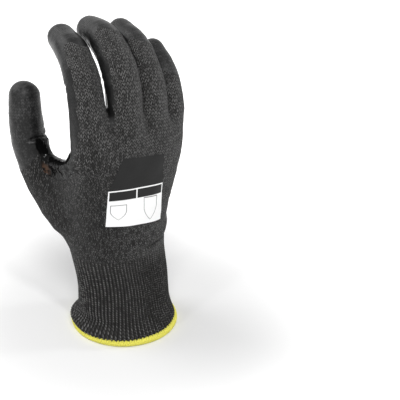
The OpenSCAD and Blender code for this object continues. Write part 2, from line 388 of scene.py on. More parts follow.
class Surround(Board):
    """The nodes of the world."""

    def __init__(self, name: str) -> None:
        """Makes a world with an empty tree.

        Args:
            name: the world's name.
        """
        self.world = bpy.data.worlds.new(name)
        self.world.use_nodes = True
        self.tree = self.world.node_tree
        self.tree.nodes.clear()


def grey(level: float, warm: float = 0.0) -> Row:
    """A grey in linear light, made a little warm or cold."""
    return (level * (1 + warm), level, level * (1 - warm), 1.0)


@dataclass(frozen=True)
class Finish:
    """A look, which each kind draws in its own way."""

    name: str

    def draw(self, b: Board) -> None:
        """Lays the look's nodes out on a board."""
        raise NotImplementedError

    def material(self) -> bpy.types.Material:
        """Returns a new material with this look.

        Returns:
            The material.
        """
        b = Board(self.name)
        self.draw(b)
        return b.material


@dataclass(frozen=True)
class KnitFinish(Finish):
    """Fine knit of black yarn with pale cut resistant fibres showing in some stitches."""

    yarn: Yarn
    wale: float = 2.1
    course: float = 2.0
    dark: float = 0.006
    lean: float = 0.95
    slack: float = 2.4
    relief: float = 0.5
    # Middle of the painted shade on the ball of the thumb.
    ball: Row = (-45.0, 15.0, 85.0)

    def draw(self, b: Board) -> None:
        """Draws the knit: each leg of a stitch shows its pale fibres by its own chance.

        The rows wander by the slack. Fewer pale fibres on the ball of the thumb and between the ribs are
        painted shade.

        Args:
            b: the board.
        """
        u, v = b.carried()
        slack = b.noise(b.pair(u, v), 0.16, 2.0, 0.5) * self.slack
        ridge, chance = b.stitches(u + slack, v + slack, self.wale, self.course, self.lean, 0.55)
        cloud = b.noise(b.pair(u, v), 0.11, 3.0, 0.6)
        fibre = b.noise(b.pair(u * 1.5, v * 0.9), 1.0, 2.0).step(0.3, 0.66)
        if self.yarn is Yarn.FLAT:
            # Painted shade: fewer pale flecks near the ball of the thumb darken it as if shaded; they come
            # back further away.
            painted_shade_lift = b.away(self.ball).step(10.0, 110.0) * 0.38
            shown = (chance * 0.75 + cloud * 0.3 + painted_shade_lift - 0.26).step(0.0, 0.95)
        else:
            # Painted shade: fewer pale flecks towards the valleys between the ribs darken them.
            rib = ((u / self.wale).math("FRACT") - 0.5).math("ABSOLUTE") * 2
            shown = (chance * 0.7 + cloud * 0.4).step(0.0, 0.95) * (1 - rib.step(0.3, 0.85))
        fleck = shown * ridge.step(0.35, 0.9) * (0.6 + fibre * 0.4)
        b.link(b.blend(fleck, grey(self.dark, 0.05), grey(0.17, 0.01)), "Base Color")
        b.set(Roughness=0.85, Specular_IOR_Level=0.2, Sheen_Weight=0.08, Sheen_Roughness=0.45)
        b.bump(ridge * 0.85 + fibre * 0.15, self.relief, 0.9)


@dataclass(frozen=True)
class CoatingFinish(Finish):
    """Satin dipped coating, with the knit under it showing faintly."""

    rough: float = 0.34
    course: float = 2.1

    def draw(self, b: Board) -> None:
        """Draws fine pebbles, a hint of the stitches below, rubbed grains and a brownish cast.

        The piece carries how far it is rubbed and how brown it is.

        Args:
            b: the board.
        """
        u, v = b.carried()
        rubbed, brown = b.carried("wear")
        at = b.place()
        patch = b.noise(at, 0.06, 3.0, 0.55)
        grain = b.noise(at, 0.75, 3.0, 0.65)
        ridge, chance = b.stitches(u, v, self.course, self.course, 0.6)
        telling = patch.step(0.36, 0.62)
        speck = grain.step(0.5, 0.75) * 0.35 + ridge * chance * telling * 0.6
        worn = (speck * (0.15 + rubbed * 0.85) * (0.5 + patch)).math("MINIMUM", 1.0)
        base = b.blend(brown * patch.step(0.25, 0.6), grey(0.006), (0.04, 0.03, 0.024, 1))
        b.link(b.blend(worn, base, grey(0.085)), "Base Color")
        b.link(self.rough - 0.1 + patch * 0.14 + grain * 0.06 + brown * 0.12, "Roughness")
        b.set(Specular_IOR_Level=0.5, IOR=1.29)
        b.bump(grain * 0.4 + ridge * (0.1 + telling * 0.2), 0.5, 0.8)


@dataclass(frozen=True)
class SaddleFinish(Finish):
    """Thick glossy coating brushed over the crotch of the thumb, lumpy, with a brownish cast where thin."""

    thin_spot: Row = (-47.5, 27.5, 122.5)

    def draw(self, b: Board) -> None:
        """Draws the lumps and the thin spot.

        Args:
            b: the board.
        """
        at = b.place()
        lumps = b.noise(at, 0.2, 2.0, 0.45)
        thin = (1 - b.away(self.thin_spot).step(2.0, 7.0)) * b.noise(at, 0.3, 2.0).step(0.4, 0.6)
        b.link(b.blend(thin, grey(0.003), (0.06, 0.034, 0.022, 1)), "Base Color")
        b.link(0.05 + lumps * 0.05, "Roughness")
        b.set(Specular_IOR_Level=0.5, IOR=1.19)
        b.bump(lumps, 1.2, 0.9)


@dataclass(frozen=True)
class BindingFinish(Finish):
    """Bright overlock thread."""

    colour: Row = (0.95, 0.92, 0.16, 1)
    # Colour of the painted shade in the hollows between the filaments.
    painted_hollow_shade: Row = (0.6, 0.54, 0.06, 1)

    def draw(self, b: Board) -> None:
        """Draws fine filaments that turn with the thread, with painted shade in the hollows between them.

        Args:
            b: the board.
        """
        u, v = b.carried()
        filament = ((u * 9.0 + v * 5.0).math("SINE") * 0.5 + 0.5) * 0.6 + b.noise(b.place(), 2.5) * 0.4
        b.link(b.blend(filament, self.painted_hollow_shade, self.colour), "Base Color")
        b.set(Roughness=0.6, Specular_IOR_Level=0.3, Sheen_Weight=0.1)
        b.bump(filament, 0.12, 0.7)


@dataclass(frozen=True)
class ElasticFinish(Finish):
    """Elastic yarn: a stretched core with a thread wound round it."""

    def draw(self, b: Board) -> None:
        """Draws the wound thread as bands.

        Args:
            b: the board.
        """
        inputs = {"Vector": b.place(), "Scale": 0.9, "Distortion": 0.6}
        wound = b.node("ShaderNodeTexWave", "Fac", {"wave_type": "BANDS"}, inputs)
        b.link(b.blend(wound, grey(0.03), grey(0.11, 0.04)), "Base Color")
        b.set(Roughness=0.75, Specular_IOR_Level=0.25)
        b.bump(wound, 0.2)


@dataclass(frozen=True)
class PrintFinish(Finish):
    """The film on the back of the hand: a dark field over a plain white block, with no marks to read."""

    width: float
    height: float
    split: float
    rise: float = -0.028

    def draw(self, b: Board) -> None:
        """Draws the print from the film's own two lengths, measured from its lower left corner.

        The white block has two dark header cells and two outlined shapes that mean nothing.

        Args:
            b: the board.
        """
        x, y = b.carried()
        w, h, soft = self.width, self.height, 0.12
        down = h * self.split - x * self.rise - y
        block = down.step(-soft, soft)
        sides = x.within(0.9, w * 0.487, soft) + x.within(w * 0.51, w - 0.8, soft)
        cells = down.within(0.9, 7.4, soft) * sides
        left = self.outline(x - w * 0.27 + 3.6, y - h * 0.215, 6.0, 5.6)
        right = self.outline(x - w * 0.76, y - h * 0.24 + 0.8, 5.7, 8.8)
        ink = (cells + (left + right)).math("MINIMUM", 1.0)
        b.link(b.blend(block * (1 - ink), grey(0.008), grey(0.9)), "Base Color")
        weave = b.noise(b.pair(x, y), 0.9, 2.0)
        b.link(0.42 + weave * 0.18, "Roughness")
        b.set(Specular_IOR_Level=0.2)
        b.bump(weave, 0.16, 0.7)

    @staticmethod
    def outline(x: Value, y: Value, wide: float, tall: float) -> Value:
        """A thin outline of a plain shield: a flat top and sides that curve in to a point.

        Args:
            x: length to the right of its middle.
            y: length above it.
            wide: half its width.
            tall: its size above and below the middle.

        Returns:
            The ink, from 0 to 0.8.
        """
        fall = ((0.2 * tall - y).math("MAXIMUM", 0.0) / (1.2 * tall)).math("POWER", 1.9)
        reach = (x.math("ABSOLUTE") / wide + fall).math("MAXIMUM", y / tall)
        return reach.within(0.92, 1.0, 0.014) * 0.8


# ---------------------------------------------------------------- meshes


@dataclass
class Cloth:
    """A surface of quads, with two lengths for its weave and two shares of wear at each corner."""

    points: Array
    faces: Array
    normals: Array | None = None
    weave: Array | None = None
    wear: Array | None = None

    def make(self, name: str, material: bpy.types.Material) -> bpy.types.Object:
        """Writes the surface into a new object at the origin.

        Args:
            name: the object's name.
            material: its finish.

        Returns:
            The object.
        """
        mesh = bpy.data.meshes.new(name)
        mesh.vertices.add(len(self.points))
        mesh.vertices.foreach_set("co", (self.points * MM).astype(np.float32).ravel())
        mesh.loops.add(self.faces.size)
        mesh.loops.foreach_set("vertex_index", self.faces.astype(np.int32).ravel())
        mesh.polygons.add(len(self.faces))
        mesh.polygons.foreach_set("loop_start", np.arange(0, self.faces.size, 4, dtype=np.int32))
        mesh.update(calc_edges=True)
        mesh.polygons.foreach_set("use_smooth", np.ones(len(self.faces), bool))
        for layer, pairs in (("weave", self.weave), ("wear", self.wear)):
            if pairs is not None:
                mesh.uv_layers.new(name=layer).data.foreach_set("uv", pairs.astype(np.float32).ravel())
        mesh.materials.append(material)
        if self.normals is not None:
            mesh.normals_split_custom_set_from_vertices(self.normals.astype(np.float32).tolist())
        made = bpy.data.objects.new(name, mesh)
        bpy.context.scene.collection.objects.link(made)
        return made

    def plus(self, points: Array, faces: Array, normals: Array, weave: Array) -> "Cloth":
        """The surface with more points and faces."""
        mine, more = (self.points, self.faces, self.normals, self.weave), (points, faces, normals, weave)
        return Cloth(*(np.concatenate(both) for both in zip(mine, more)))

    def lined(self, depth: float) -> "Cloth":
        """The surface with an inner side, a knit's thickness inside, facing in.

        Args:
            depth: thickness of the knit.

        Returns:
            Both sides.
        """
        inner = self.points - self.normals * depth
        weave = self.weave.reshape(-1, 4, 2)[:, ::-1].reshape(-1, 2)
        return self.plus(inner, self.faces[:, ::-1] + len(inner), -self.normals, weave)


def grid_faces(rows: int, columns: int, ring: bool, closed: bool = False) -> Array:
    """Quads of a grid of points held row by row.

    Args:
        rows: number of rows.
        columns: number of points in a row.
        ring: whether the last column joins the first.
        closed: whether the last row joins the first.

    Returns:
        One quad in a row, wound so that with rows rising and columns going round leftwards it faces out.
    """
    up, across = np.arange(rows if closed else rows - 1), np.arange(columns if ring else columns - 1)
    i, j = np.meshgrid(up, across, indexing="ij")
    above, beside = (i + 1) % rows * columns, (j + 1) % columns
    return np.stack([i * columns + j, i * columns + beside, above + beside, above + j], -1).reshape(-1, 4)


def corner_weave(u: Array, v: Array, faces: Array, period: float = 0.0) -> Array:
    """Weave lengths at each corner, from lengths at each point.

    Args:
        u: first length of each point.
        v: second length of each point.
        faces: the faces.
        period: length after which u repeats; a face that spans the repeat is joined up.

    Returns:
        Pairs of lengths, corner by corner.
    """
    cu = u[faces]
    if period:
        cu = cu + np.where(cu.max(1, keepdims=True) - cu > period / 2, period, 0)
    return np.stack([cu, v[faces]], -1).reshape(-1, 2)


def tube(
    path: Array, side: Array, bar: Array, radius: float, sides: int, lengths: Array, scale: float
) -> Cloth:
    """A closed tube round a closed path.

    Args:
        path: middle of each ring.
        side: where each ring starts, as a way from its middle.
        bar: the way a quarter of the ring further on.
        radius: size of a ring where its way has length one.
        sides: number of points in a ring.
        lengths: weave length of each ring.
        scale: weave length of one radian round the tube.

    Returns:
        The tube.
    """
    turn = np.linspace(0, tau, sides, endpoint=False)
    c, s = np.cos(turn)[None, :, None], np.sin(turn)[None, :, None]
    points = (path[:, None] + radius * (c * side[:, None] + s * bar.reshape(-1, 1, 3))).reshape(-1, 3)
    faces = grid_faces(len(path), sides, True, True)[:, [0, 3, 2, 1]]
    weave = corner_weave(np.repeat(lengths, sides), np.tile(turn * scale, len(path)), faces)
    return Cloth(points, faces, None, weave)


def cut(
    points: Array,
    normals: Array,
    faces: Array,
    chart: tuple[Array, Array],
    wear: Array | None = None,
    period: float = 0.0,
) -> Cloth:
    """Cuts a piece out of a larger surface.

    Args:
        points: points of the whole surface.
        normals: their normals.
        faces: faces of the piece.
        chart: the two weave lengths of each point.
        wear: the two shares of wear of each point.
        period: length after which the first weave length repeats.

    Returns:
        The piece.
    """
    used, back = np.unique(faces, return_inverse=True)
    local = back.reshape(faces.shape)
    u, v = chart
    rubbed = None if wear is None else wear[used][local].reshape(-1, 2)
    return Cloth(points[used], local, normals[used], corner_weave(u[used], v[used], local, period), rubbed)


def point_normals(points: Array, faces: Array) -> Array:
    """Normal of each point: the sum of its quads' diagonals' cross products, at length one.

    Args:
        points: the points.
        faces: the quads.

    Returns:
        One normal in a row.
    """
    a, b, c, d = (points[faces[:, k]] for k in range(4))
    n = np.repeat(np.cross(c - a, d - b), 4, 0)
    return unit(np.column_stack([np.bincount(faces.ravel(), n[:, axis], len(points)) for axis in range(3)]))


def level_surface(
    distance: Callable[[Array], Array], low: Array, high: Array, pitch: float
) -> tuple[Array, Array]:
    """The zero level of a distance field as a net of quads.

    The field is read on a coarse grid first and on a fine grid only near the surface. Each fine cell that the
    surface crosses gets one point, the mean of the crossings on its edges, and each crossed grid edge gets a
    quad through the points of the four cells round it.

    Args:
        distance: signed distance of points.
        low: lowest corner.
        high: highest corner.
        pitch: size of a fine cell.

    Returns:
        The points and the quads, facing outwards.
    """
    block = 5
    counts = np.ceil((high - low) / (pitch * block)).astype(int)
    axes = [low[k] + (np.arange(counts[k]) + 0.5) * pitch * block for k in range(3)]
    middles = np.stack(np.meshgrid(*axes, indexing="ij"), -1)
    values = distance(middles.reshape(-1, 3)).reshape(counts)
    near = np.argwhere(np.abs(values) < pitch * block * 1.25)
    for axis in range(3):
        values = values.repeat(block, axis)
    inner = np.indices((block, block, block)).reshape(3, -1).T
    cells = (near[:, None] * block + inner).reshape(-1, 3)
    values[tuple(cells.T)] = distance(low + (cells + 0.5) * pitch)

    inside = values < 0
    corners = np.indices((2, 2, 2)).reshape(3, -1).T
    ways = np.eye(3, dtype=int)
    size = np.array(values.shape) - 1
    total = np.zeros(size, np.int8)
    for c in corners:
        total += inside[tuple(slice(start, start + n) for start, n in zip(c, size))]
    active = np.argwhere((total > 0) & (total < 8))
    at = {tuple(c): values[tuple((active + c).T)] for c in corners}
    place, hits = np.zeros((len(active), 3)), np.zeros(len(active))
    for c in corners:
        for way in ways[c == 0]:
            f0, f1 = at[tuple(c)], at[tuple(c + way)]
            crossed = (f0 < 0) != (f1 < 0)
            t = np.where(crossed, f0 / np.where(crossed, f0 - f1, 1), 0)
            place += np.where(crossed[:, None], c + t[:, None] * way, 0)
            hits += crossed
    points = low + (active + place / hits[:, None] + 0.5) * pitch

    number = np.full(size, -1, np.int32)
    number[tuple(active.T)] = np.arange(len(active))
    quads = []
    for axis in range(3):
        one, two = (axis + 1) % 3, (axis + 2) % 3
        here = active[(active[:, one] > 0) & (active[:, two] > 0)]
        f0, f1 = inside[tuple(here.T)], inside[tuple((here + ways[axis]).T)]
        crossed, out = here[f0 != f1], f0[f0 != f1]
        loop = [crossed - ways[one] - ways[two], crossed - ways[two], crossed, crossed - ways[one]]
        quad = np.stack([number[tuple(c.T)] for c in loop], -1)
        quad = np.where(out[:, None], quad, quad[:, ::-1])
        quads.append(quad[(quad >= 0).all(1)])
    return points, np.concatenate(quads)


# ---------------------------------------------------------------- form of the hand


@dataclass(frozen=True)
class Digit:
    """A finger or the thumb, as a chain of joints with a radius at each.

    The chain is root, knuckle, middle joint, end joint and tip, and bends about one hinge direction. The
    coating covers all but a strip on a finger's back, which stops where the tip's coat starts.
    """

    name: str
    chain: Array
    radii: Array
    hinge: Array
    tip_coat: float
    strip_half: float = 60.0

    @property
    def sizes(self) -> Array:
        """Size of each of the four lengths."""
        return np.linalg.norm(np.diff(self.chain, axis=0), axis=1)

    @property
    def spans(self) -> Array:
        """Lengths along the chain from the knuckle to the middle joint, the end joint and the tip."""
        return np.cumsum(self.sizes[1:])

    @property
    def folds(self) -> tuple[Row, ...]:
        """Where folds cross the digit's inner side, and how deep they are.

        Returns:
            Length along the digit and depth of each fold.
        """
        middle, end, _ = self.spans
        if self.name == "thumb":
            return ((end - 5.5, 1.8), (end - 0.5, 0.3))
        return ((middle, 0.8), (end, 0.8), (middle - 7.0, 0.35))

    @property
    def bones(self) -> Array:
        """Direction of each of the four lengths."""
        return unit(np.diff(self.chain, axis=0))

    def spine(self, steps: int, first: int = 0) -> tuple[Array, Array, Array]:
        """The middle line as a smooth curve through the chain, cut into short straight lengths.

        Args:
            steps: number of cuts in each length of the chain.
            first: the length of the chain that it starts with.

        Returns:
            Lengths along the chain from the knuckle, points and radii.
        """
        knots = np.concatenate([[0], np.cumsum(self.sizes)])
        at = np.interp(np.linspace(first, 4, (4 - first) * steps + 1), np.arange(5), knots)
        rows = through(knots, np.column_stack([self.chain, self.radii]), at)
        return at - knots[1], rows[:, :3], rows[:, 3]

    def distance(self, p: Array, first: int = 1) -> Array:
        """Distance to the digit's skin, the least of the distances to its short lengths.

        Args:
            p: points, one in a row.
            first: 1 to start at the knuckle, 0 to take the root inside the hand as well.

        Returns:
            The distance of each point, or FAR where a point is far away.
        """
        _, points, radii = self.spine(4, first)
        near = within(p, points, self.radii.max() + FAR)
        q, out = p[near], np.full(len(p), FAR)
        for k in range(len(points) - 1):
            out[near] = np.minimum(out[near], limb(q, points[k], points[k + 1], radii[k], radii[k + 1]))
        return out

    def chart(self, p: Array) -> tuple[Array, Array, Array]:
        """Where points lie on the digit, each dropped onto the nearest short length of its middle line.

        Args:
            p: points, one in a row.

        Returns:
            Length along the digit from its knuckle, the way across it, and the height above its middle.
        """
        lengths, points, radii = self.spine(14)
        ways = unit(np.gradient(points, axis=0))
        best, along = np.full(len(p), np.inf), np.zeros(len(p))
        arm, way = np.zeros_like(p), np.zeros_like(p)
        for k in range(len(points) - 1):
            t, off = drop(p, points[k], points[k + 1])
            gap = (off * off).sum(1) - (radii[k] + (radii[k + 1] - radii[k]) * t) ** 2
            mine = gap < best
            best[mine] = gap[mine]
            along[mine] = lengths[k] + t[mine] * (lengths[k + 1] - lengths[k])
            arm[mine] = off[mine]
            way[mine] = ways[k] + t[mine, None] * (ways[k + 1] - ways[k])
        above = (arm * unit(np.cross(way, self.hinge))).sum(1)
        return along + (arm * way).sum(1), -(arm @ self.hinge), above

    def coated(self, p: Array) -> Array:
        """How far inside the coating points are, the lesser of beside the strip and past its end.

        Args:
            p: points, one in a row.

        Returns:
            The depth inside the edge, negative outside it.
        """
        along, across, above = self.chart(p)
        size = np.maximum(np.hypot(across, above), 1.0)
        beside = (np.abs(np.degrees(np.arctan2(across, above))) - self.strip_half) / PER_RADIAN * size
        beside += 0.7 * np.sin(along * 0.37 + across) + 0.35 * np.sin(along * 0.9)
        end = along - self.tip_coat + 1.2 * np.sin(across * 0.42 + 1.0) + 0.25 * across
        return -smooth_min(-beside, -end, 5.0)


@dataclass(frozen=True)
class Crease:
    """A fold pressed into the skin along a path, with a soft lip on each side.

    Depth falls off as exp(-(d / width)^2) from the path, the lips stand at twice the width, and both fade
    out towards the path's ends.
    """

    path: tuple[Row, ...]
    depth: float
    width: float
    lip: float = 0.3
    palm: bool = False

    def relief(self, p: Array) -> Array:
        """Height that the fold adds at points, in millimetres. A palm fold is pressed in along Y.

        Args:
            p: points, one in a row.

        Returns:
            The height at each point.
        """
        keep = np.array([1.0, 0.0 if self.palm else 1.0, 1.0])
        d, t = path_distance(p * keep, np.array(self.path, float) * keep)
        fade = np.sqrt(np.clip(np.sin(pi * np.clip(t, 0.02, 0.98)), 0, 1))
        facing = ease(p[:, 1], -1.0, 7.0) if self.palm else 1.0
        lips = bell(d - 2 * self.width, self.width)
        return fade * facing * self.depth * (self.lip * lips - bell(d, self.width))


def tilted(pitch: float, splay: float, spin: float) -> Array:
    """Direction of a length: leaned to the palm by pitch, to the side by splay, and turned by spin.

    Args:
        pitch: lean to the palm, in degrees.
        splay: lean to the side.
        spin: turn about the upright.

    Returns:
        The direction, at length one.
    """
    p, s, t = radians(pitch), radians(splay), radians(spin)
    x, y = cos(p) * sin(s), sin(p)
    return np.array([x * cos(t) - y * sin(t), x * sin(t) + y * cos(t), cos(p) * cos(s)])


@dataclass(frozen=True)
class HandForm:
    """The hand's skin as a distance field, with where it is coated and where its folds are."""

    fingers: tuple[Digit, ...]
    thumb: Digit
    rings: Array
    web_edge: Array
    web_foot: Array
    core: Array
    creases: tuple[Crease, ...]
    web_radii: Row = (3.1, 9.0)
    core_radii: Row = (12.0, 11.0)
    crown: float = 168.5
    slit: float = 0.55

    def section(self, z: Array) -> Array:
        """Centre x, centre y, half width, half depth and power of the hand's section at heights."""
        return through(self.rings[:, 0], self.rings[:, 1:], z)

    def trunk(self, p: Array) -> Array:
        """Distance to the hand and cuff without digits: a loft of ovals |x/a|^n + |y/b|^n = 1.

        Args:
            p: points, one in a row.

        Returns:
            The signed distance of each point.
        """
        s = self.section(p[:, 2])
        x, y, n = p[:, 0] - s[:, 0], p[:, 1] - s[:, 1], s[:, 4]
        u, v = np.abs(x) / s[:, 2], np.abs(y) / s[:, 3]
        f = np.maximum((u**n + v**n) ** (1 / n), 1e-6)
        slope = np.hypot((u / f) ** (n - 1) / s[:, 2], (v / f) ** (n - 1) / s[:, 3])
        d = (f - 1) / np.maximum(slope, 1 / np.maximum(s[:, 2], s[:, 3]))
        top = p[:, 2] - self.crown + 10.0 * ease(x, 8.0, 34.0) + 0.1 * np.maximum(-x - 20, 0)
        return -smooth_min(-d, -top, 5.0)

    def distance(self, p: Array) -> Array:
        """Distance to the whole skin.

        The fingers are kept apart by a slit where two of them are equally near, and joined to the hand, the
        web and the thumb with fillets.

        Args:
            p: points, one in a row.

        Returns:
            The signed distance of each point.
        """
        each = np.sort(np.stack([f.distance(p) for f in self.fingers]), axis=0)
        apart = self.slit + 0.012 * np.maximum(p[:, 2] - 160, 0)
        fingers = np.maximum(each[0], apart - (each[1] - each[0]) / 2)
        body = smooth_min(self.trunk(p), fingers, 5.0)
        body = smooth_min(body, limb(p, *self.core, *self.core_radii), 8.0)
        return smooth_min(smooth_min(body, self.thumb.distance(p, 0), 8.0), self.web(p), 6.0)

    def web(self, p: Array) -> Array:
        """Distance to the web of the thumb: a fan of bars from its curved edge down into the hand.

        Args:
            p: points, one in a row.

        Returns:
            The distance of each point, or FAR where a point is far away.
        """
        near = within(p, np.vstack([self.web_edge, self.web_foot]), 20)
        q = p[near]
        knots = np.arange(len(self.web_edge))
        at = np.linspace(0, knots[-1], 13)
        tops, feet = through(knots, self.web_edge, at), through(knots, self.web_foot, at)
        thin, thick = self.web_radii
        best = np.full(len(q), FAR)
        for k in range(len(at)):
            best = smooth_min(best, limb(q, tops[k], feet[k], thin, thick), 2.0)
            if k:
                best = smooth_min(best, limb(q, tops[k - 1], tops[k], thin, thin), 2.0)
        out = np.full(len(p), FAR)
        out[near] = best
        return out

    def relief(self, p: Array) -> Array:
        """Folds and slight unevenness of the skin at points.

        Args:
            p: points, one in a row.

        Returns:
            The height at each point.
        """
        height = 0.22 * ripple(p, 17.0, 5) + 0.10 * ripple(p, 7.0, 9)
        for crease in self.creases:
            height = height + crease.relief(p)
        for digit in (*self.fingers, self.thumb):
            near = digit.distance(p) < 1.5
            height[near] += self.joint_folds(digit, p[near])
        return height * ease(p[:, 2], 48.0, 66.0)

    @staticmethod
    def joint_folds(digit: Digit, p: Array) -> Array:
        """Height of the folds across a digit's inner side: a groove with a lip on each side.

        Args:
            digit: the digit.
            p: points on it.

        Returns:
            The height at each point.
        """
        along, across, above = digit.chart(p)
        height = np.zeros(len(p))
        for at, depth in digit.folds:
            d = along - at - 0.9 * np.sin(across * 0.35 + at)
            height += depth * (0.14 * bell(np.abs(d) - 3.2, 1.8) - bell(d, 1.5))
        return height * ease(-above, 0.0, 8.0)

    def owner(self, p: Array) -> Array:
        """Number of the digit whose chain is nearest, counted from the index finger; 4 is the thumb."""
        fingers = [f.distance(p, 0) for f in self.fingers]
        return np.argmin(np.stack([*fingers, self.thumb.distance(p)]), axis=0)

    def hand_coated(self, p: Array) -> Array:
        """How far inside the palm's coating points are: the palm, the outer edge and its lower hem.

        Args:
            p: points, one in a row.

        Returns:
            The depth inside the edge, negative outside it.
        """
        s, z = self.section(p[:, 2]), p[:, 2]
        x, y = p[:, 0] - s[:, 0], p[:, 1] - s[:, 1]
        palm = y + 5.0 - ease(-x, 6.0, 30.0) * (7.0 + 20.0 * ease(-z, -142.0, -128.0))
        side = np.maximum(palm, x - s[:, 2] + 4.5) + 0.6 * np.sin(z * 0.31) + 0.4 * np.sin(z * 0.83)
        return smooth_min(side, z - self.hem(p), 6.0)

    def hem(self, p: Array) -> Array:
        """Height of the coating's lower edge, which dips in a tongue at the middle of the palm."""
        tongue = 20.0 * bell(p[:, 0] - 2.0, 17.0) * ease(p[:, 1], 4.0, 16.0)
        return 69.0 - tongue + 0.8 * np.sin(p[:, 0] * 0.4)

    def coated(self, p: Array) -> Array:
        """How far inside the coating points of the whole skin are, in millimetres, negative outside it.

        Args:
            p: points, one in a row.

        Returns:
            The depth inside the edge, negative outside it.
        """
        hand = self.hand_coated(p)
        owner = self.owner(p)
        for k, finger in enumerate(self.fingers):
            mine = owner == k
            share = ease(finger.chart(p[mine])[0], -8.0, 12.0)
            hand[mine] = hand[mine] * (1 - share) + finger.coated(p[mine]) * share
        along, across, above = self.thumb.chart(p)
        share = (1 - ease(self.thumb.distance(p, 0), 1.0, 8.0)) * ease(p[:, 2], 66.0, 84.0)
        pad = -across - 2.0 + 0.8 * np.sin(along * 0.3)
        cover = along - self.thumb.tip_coat + 0.55 * above + 0.9 * np.sin(across * 0.5 + 0.6)
        return hand * (1 - share) + np.maximum(pad, cover) * share

    def hand_weave(self, p: Array) -> tuple[Array, Array]:
        """Weave lengths on the hand: across the back and on round its edges, and up the hand.

        Args:
            p: points, one in a row.

        Returns:
            Both lengths of each point.
        """
        s = self.section(p[:, 2])
        y = np.clip((p[:, 1] - s[:, 1]) / s[:, 3], -1.0, 3.6)
        return p[:, 0] + np.sign(p[:, 0] - s[:, 0]) * s[:, 3] * (1 + y), p[:, 2]

    @staticmethod
    def finger_weave(p: Array, finger: Digit) -> tuple[Array, Array]:
        """Weave lengths on a finger, which run on from the hand's.

        Args:
            p: points, one in a row.
            finger: the finger.

        Returns:
            Both lengths of each point.
        """
        along, across, above = finger.chart(p)
        round_it = np.hypot(across, above) * np.arctan2(across, above)
        share = ease(along, -14.0, 10.0)
        x, _, z = finger.chain[1]
        return x + across * (1 - share) + round_it * share, z + along


# ---------------------------------------------------------------- the glove's parts


@dataclass(frozen=True)
class Bend:
    """One moving length of skin: which bodies it joins and where it turns."""

    name: str
    bodies: tuple[str, str]
    start: Array
    end: Array
    digit: Digit | None = None

    def hang(self, piece: bpy.types.Object) -> None:
        """Bakes the piece's placement into its mesh; it is not blended between the bodies."""
        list(self.bodies)
        tuple(self.start * MM)
        tuple(self.end * MM)
        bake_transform(piece)


WRIST = Bend("heel", ("cuff", "hand"), np.array([0, 0, 48.0]), np.array([0, 0, 74.0]))


